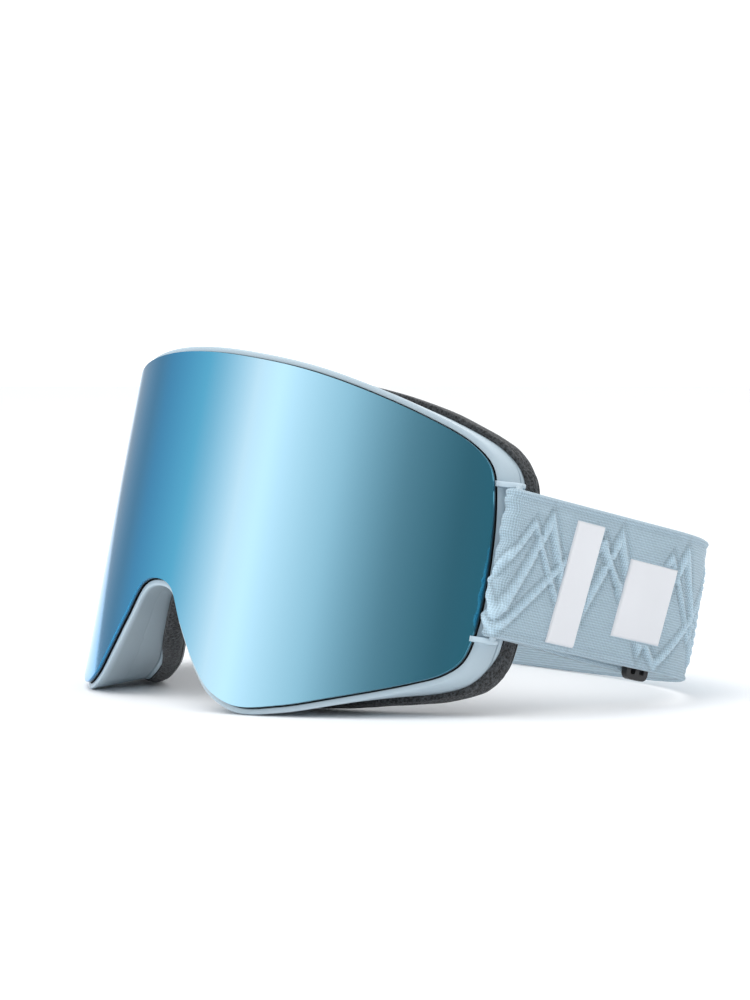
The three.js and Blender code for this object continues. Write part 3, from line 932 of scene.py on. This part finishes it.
class AddStrapBrackets(bpy.types.Operator):
    """Outriggers on both sides: two arms that swell out of the wall, and the bar between them"""
    bl_idname = "goggles.strap_brackets"
    bl_label = "Strap brackets"

    def execute(self, context):
        for side, name in ((1, "left"), (-1, "right")):
            top = self.arm(f"bracket_top_{name}", side, STRAP["high"] + GAP)
            low = self.arm(f"bracket_low_{name}", side, STRAP["low"] - GAP - ARM["height"])
            bar = self.bar(f"bracket_bar_{name}", side)
            dress(top, "shell", "frame", f"strap_bracket_{name}")
            dress(low, "shell", "frame")
            dress(bar, "shell", "frame")
        return {"FINISHED"}

    def arm(self, name, side, low):
        """A flat rounded section from inside the wall to the tip, whose reach swells along the side."""
        y = np.linspace(ARM["front"], ARM["back"], 48)
        reach = ARM["root"] + (ARM["tip"] - ARM["root"]) * bump(y, ARM["front"], ARM["back"], ARM["rise"])
        high = low + ARM["height"]
        corners = [
            np.stack(np.broadcast_arrays(x, y, z), axis=-1)
            for x, z in ((ARM["root"] - 2, low), (reach, low), (reach, high), (ARM["root"] - 2, high))
        ]
        grid = rounded(corners, [0.1, 0.8, 0.8, 0.1], steps=6)
        return strip(name, grid * (side, 1, 1))

    def bar(self, name, side):
        angle = np.linspace(0, 2 * np.pi, 24, endpoint=False)[:, None]
        z = np.linspace(STRAP["low"] - 1, STRAP["high"] + 1, 12)[None, :]
        x = side * BAR["x"] + BAR["radius"] * np.cos(angle) + 0 * z
        y = BAR["y"] + BAR["radius"] * np.sin(angle) + 0 * z
        return strip(name, np.stack(np.broadcast_arrays(x, y, z), axis=-1))


def cable_relief(u, v):
    """Zigzag cables: a triangle wave of the length gives each cable's height on the strap. A ridge of set
    width follows it between two grooves, and is cut into stitches along its length."""
    relief = np.zeros(np.broadcast(u, v).shape)
    for start, middle, swing, period, width in (
        (3.0, 52, 15, 27, 1.5), (9.0, 54, 11, 27, 1.1), (20.0, 50, 17, 61, 1.3),
    ):
        phase = ((u + start) / period) % 1
        wave = middle + swing * (4 * np.abs(phase - 0.5) - 1)
        away = (v - wave) / math.hypot(1, 4 * swing / period) / width
        ridge = np.exp(-(away ** 2) * 1.6) - 0.55 * np.exp(-((np.abs(away) - 1.25) ** 2) * 6)
        twist = 0.8 + 0.2 * np.sin(2 * np.pi * (u * 0.8 + v * 0.5) / 2.4)
        relief = np.where(np.abs(ridge) > np.abs(relief), ridge * twist, relief)
    return relief


def clear_of_patches(u, v, total):
    """1 on the open strap and 0 under the raised patches, with a soft change between."""
    open_strap = 1.0
    for start, width, low, high in PATCHES:
        place = np.minimum(u, total - u) - PATCH["lean"] * (v - low)
        inside = smoothstep(v, low - 1, low) * (1 - smoothstep(v, high, high + 1))
        end = start + width
        under = smoothstep(place, start - 1, start) * (1 - smoothstep(place, end, end + 1))
        open_strap = open_strap * (1 - under * inside)
    return open_strap


def fold_wave(y, z):
    """How far forwards the strap's front fold bulges: two sines of the height, fading behind the fold."""
    wave = FOLD_RIPPLE["mean"] + sum(a * np.sin(z * k + start) for a, k, start in FOLD_RIPPLE["waves"])
    return wave * np.exp(-(((y - BAR["y"] + FOLD_RADIUS) / FOLD_RIPPLE["reach"]) ** 2))


def strap_surface(line, length, low, high, relief_height=0.0, rows=76, fall=0.0):
    """A band: the section runs up the outside and down the inside. The outside is raised by the cables and
    by a bead along both edges, and the front fold waves."""
    normal = normals_of(line)
    edge = STRAP["thickness"] / 2
    up = 0.5 - 0.5 * np.cos(np.linspace(0, np.pi, rows))[:, None]
    up = up * 0.25 + np.linspace(0, 1, rows)[:, None] * 0.75
    height = low + (high - low) * up
    raised = cable_relief(length[None, :], height)
    raised = raised * clear_of_patches(length[None, :], height, length[-1])
    rim = np.minimum(height - low, high - height)
    bead = 0.3 * np.exp(-(((rim - 0.9) / 0.7) ** 2)) - 0.25 * np.exp(-(((rim - 2.1) / 0.45) ** 2))
    soft = np.clip(rim / edge, 0, 1)
    side = edge * np.sqrt(np.clip(1 - (1 - soft) ** 2, 0, 1))
    outside = side + (raised * soft * smoothstep(rim, 1.5, 4) + bead) * relief_height
    across = np.concatenate([outside, np.broadcast_to(-side[::-1], outside.shape)[1:-1]])
    z = np.concatenate([height, height[::-1][1:-1]])
    x = line[:, 0] + normal[:, 0] * across
    y = line[:, 1] + normal[:, 1] * across
    relief = np.concatenate([raised, np.zeros((rows - 2, len(line)))])
    grid = np.stack(np.broadcast_arrays(x, y - fold_wave(y, z), z - fall), axis=-1)
    return grid, relief, height[:, 0]


def map_band(piece, grid_shape, length, height):
    """A map in metres: along the strap and up it."""
    u = np.broadcast_to(length[None, :], grid_shape[:2]) * MM
    v = np.concatenate([height, height[::-1][1:-1]])[:, None] * np.ones((1, grid_shape[1])) * MM
    both = np.stack([u, v], axis=-1).reshape(-1, 2)
    loops = np.zeros(len(piece.data.loops), np.int32)
    piece.data.loops.foreach_get("vertex_index", loops)
    layer = piece.data.uv_layers.new(name="strap_map")
    layer.data.foreach_set("uv", both[loops].astype(np.float32).ravel())


class AddStrapBand(bpy.types.Operator):
    """The knit band with its raised cables, folded round the bracket bars"""
    bl_idname = "goggles.strap_band"
    bl_label = "Strap band"

    def execute(self, context):
        line, length = strap_line()
        height = context_sizes().cable_height / MM
        grid, relief, up = strap_surface(line, length, STRAP["low"], STRAP["high"], height)
        band = strip("knit_band", grid)
        map_band(band, grid.shape, length, up)
        paint(band, "relief", relief)
        dress(band, "knit", "frame", "strap_band")
        return {"FINISHED"}


class AddStrapPatches(bpy.types.Operator):
    """A plain bar and a plain block, raised on both sides of the band"""
    bl_idname = "goggles.strap_patches"
    bl_label = "Strap patches"

    def execute(self, context):
        line, length = strap_line()
        for side, name in ((1, "left"), (-1, "right")):
            for number, patch in enumerate(PATCHES, 1):
                piece = self.patch(f"patch_{name}_{number}", line, length, side, *patch)
                dress(piece, "print", "frame")
        return {"FINISHED"}

    def patch(self, name, line, length, side, start, width, low, high):
        """A parallelogram on the band's outside: a front sheet and a back sheet with rounded edges."""
        along, up = np.linspace(0, 1, 40)[None, :], np.linspace(0, 1, 60)[:, None]
        height = low + (high - low) * up
        u = start + width * along + PATCH["lean"] * (height - low)
        normal = normals_of(line)
        base = STRAP["thickness"] / 2 + 0.1
        edge = np.minimum(np.minimum(along, 1 - along) * width, np.minimum(up, 1 - up) * (high - low))
        thick = PATCH["thickness"] * np.sqrt(np.clip(1 - (1 - np.clip(edge / 0.35, 0, 1)) ** 2, 0, 1))
        middle = [np.interp(u, length, line[:, k]) for k in (0, 1)]
        away = [np.interp(u, length, normal[:, k]) for k in (0, 1)]
        sheets = []
        for across in (base + thick, base - 0.3 + 0 * thick):
            x, y = (m + a * across for m, a in zip(middle, away))
            sheets.append(np.stack(np.broadcast_arrays(side * x, y, height), axis=-1))
        return strip(name, np.concatenate([sheets[0], sheets[1][::-1]]))


class AddStrapEnds(bpy.types.Operator):
    """The doubled-back strap ends, laid back from the front fold towards their sliders"""
    bl_idname = "goggles.strap_ends"
    bl_label = "Strap ends"

    def execute(self, context):
        for side, name in ((1, "left"), (-1, "right")):
            x = side * (BAR["x"] - FOLD_RADIUS)
            y = np.linspace(END["front"], END["back"], 90)
            line = np.stack([np.full(len(y), x), y], axis=1)
            fall = END["fall"] * smoothstep(y, END["front"], END["settled"])
            grid, _, up = strap_surface(line, y, STRAP["low"], STRAP["high"], rows=40, fall=fall)
            end = strip(f"knit_end_{name}", grid)
            map_band(end, grid.shape, y, up)
            dress(end, "knit", None, f"strap_end_{name}")
            middle = (STRAP["low"] + STRAP["high"]) / 2
            marks = seated([[x, END["front"] + 4, middle], [x, END["settled"], middle]])
            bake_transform(end)
        return {"FINISHED"}


class AddStrapSliders(bpy.types.Operator):
    """The strap adjusters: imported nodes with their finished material"""
    bl_idname = "goggles.strap_sliders"
    bl_label = "Strap sliders"

    def execute(self, context):
        for side in ("left", "right"):
            redress(f"strap_slider_{side}", "black")
        return {"FINISHED"}


class AddGripStrips(bpy.types.Operator):
    """Silicone beads along the inside of the band"""
    bl_idname = "goggles.grip_strips"
    bl_label = "Grip strips"

    def execute(self, context):
        for row in ("lower", "upper"):
            redress(f"grip_strip_{row}", "silicone")
        return {"FINISHED"}


class AddStage(bpy.types.Operator):
    """Floor, light and camera"""
    bl_idname = "goggles.stage"
    bl_label = "Stage"

    def execute(self, context):
        self.camera()
        self.floor()
        self.light()
        return {"FINISHED"}

    def camera(self):
        data = bpy.data.cameras.new("camera")
        data.lens = CAMERA["lens"]
        data.sensor_width = CAMERA["sensor"]
        data.shift_x, data.shift_y = CAMERA["shift"]
        data.clip_end = 20
        camera = bpy.data.objects.new("camera", data)
        camera.location = CAMERA["place"]
        turn, dip = math.radians(CAMERA["turn"]), math.radians(CAMERA["dip"])
        camera.rotation_euler = (math.pi / 2 - dip, 0, turn)
        bpy.context.scene.collection.objects.link(camera)
        bpy.context.scene.camera = camera

    def floor(self):
        """A flat disc: rings of growing radius round a small middle."""
        radius = np.linspace(0.3, 2.4, 15)[:, None] ** 2
        angle = np.linspace(0, 2 * np.pi, 96, endpoint=False)[None, :]
        grid = np.stack([radius * np.cos(angle), radius * np.sin(angle), 0 * radius * angle], axis=-1)
        faces = grid_faces(*grid.shape[:2], False, True).tolist()
        mesh = bpy.data.meshes.new("floor")
        mesh.from_pydata(grid.reshape(-1, 3).tolist(), [], faces + [list(range(96))])
        floor = bpy.data.objects.new("floor", mesh)
        bpy.context.scene.collection.objects.link(floor)
        finish = Finish("pale_floor")
        finish.set(Base_Color=(0.93, 0.935, 0.945, 1), Roughness=0.9)
        mesh.materials.append(finish.material)

    def light(self):
        """A pale surround, brightest ahead of the lens on its left and dimmer to both sides of that, with
        soft light from above."""
        world = bpy.data.worlds.new("studio")
        world.use_nodes = True
        nodes = Nodes(world.node_tree)
        where = nodes.node("ShaderNodeTexCoord").outputs["Generated"]
        split = nodes.node("ShaderNodeSeparateXYZ", inputs={"Vector": where})
        x, y, z = (nodes.number(split, k) for k in range(3))
        turn = x.apply("ARCTAN2", x, y * -1.0) * (1 / (2 * math.pi)) + 0.5
        ramp = nodes.node("ShaderNodeValToRGB", {"stops": [
            ((degrees + 180) / 360, (level, level, level, 1)) for degrees, level in LIGHT_ROUND
        ]}, {"Fac": turn})
        level = nodes.number(ramp)
        peak = level.apply("POWER", level, 2.5) * 0.55
        high = (z * 2.2 - 0.9).clamped()
        strength = (level + peak) * (1 - high) + high * 1.15
        background = world.node_tree.nodes["Background"]
        background.inputs["Color"].default_value = (0.97, 0.985, 1.0, 1)
        nodes.feed(background, {"Strength": strength})
        bpy.context.scene.world = world
        bpy.context.scene.view_settings.view_transform = "Standard"
        self.panel("top_light", **TOP_LIGHT)

    def panel(self, name, place, size, power):
        data = bpy.data.lights.new(name, "AREA")
        data.energy = power
        data.size = size
        lamp = bpy.data.objects.new(name, data)
        lamp.location = place
        lamp.rotation_euler = (Vector((0, 0, 0.05)) - Vector(place)).to_track_quat("-Z", "Y").to_euler()
        bpy.context.scene.collection.objects.link(lamp)


OPERATORS = (
    AddOuterLens, AddLensBacking, AddFrontRim, AddFrameShell, AddVentFoams, AddFaceFoam,
    AddStrapBrackets, AddStrapBand, AddStrapPatches, AddStrapEnds, AddStrapSliders, AddGripStrips, AddStage,
)


class GogglePanel(bpy.types.Panel):
    """Lists the goggles' pieces in the sidebar"""
    bl_idname = "VIEW3D_PT_goggles"
    bl_label = "Ski goggles"
    bl_space_type = "VIEW_3D"
    bl_region_type = "UI"
    bl_category = "Goggles"

    def draw(self, context):
        for operator in OPERATORS:
            self.layout.operator(operator.bl_idname)


CLASSES = (GoggleSizes, GoggleColours, *OPERATORS, GogglePanel)


def register():
    for each in CLASSES:
        bpy.utils.register_class(each)
    bpy.types.Scene.goggle_sizes = PointerProperty(type=GoggleSizes)
    bpy.types.Scene.goggle_colours = PointerProperty(type=GoggleColours)


def unregister():
    del bpy.types.Scene.goggle_colours
    del bpy.types.Scene.goggle_sizes
    for each in reversed(CLASSES):
        bpy.utils.unregister_class(each)


def corners(box):
    return [list(map(float, corner)) for corner in box]


def main():
    register()
    for operator in OPERATORS:
        group, name = operator.bl_idname.split(".")
        getattr(getattr(bpy.ops, group), name)()


if __name__ == "__main__":
    main()
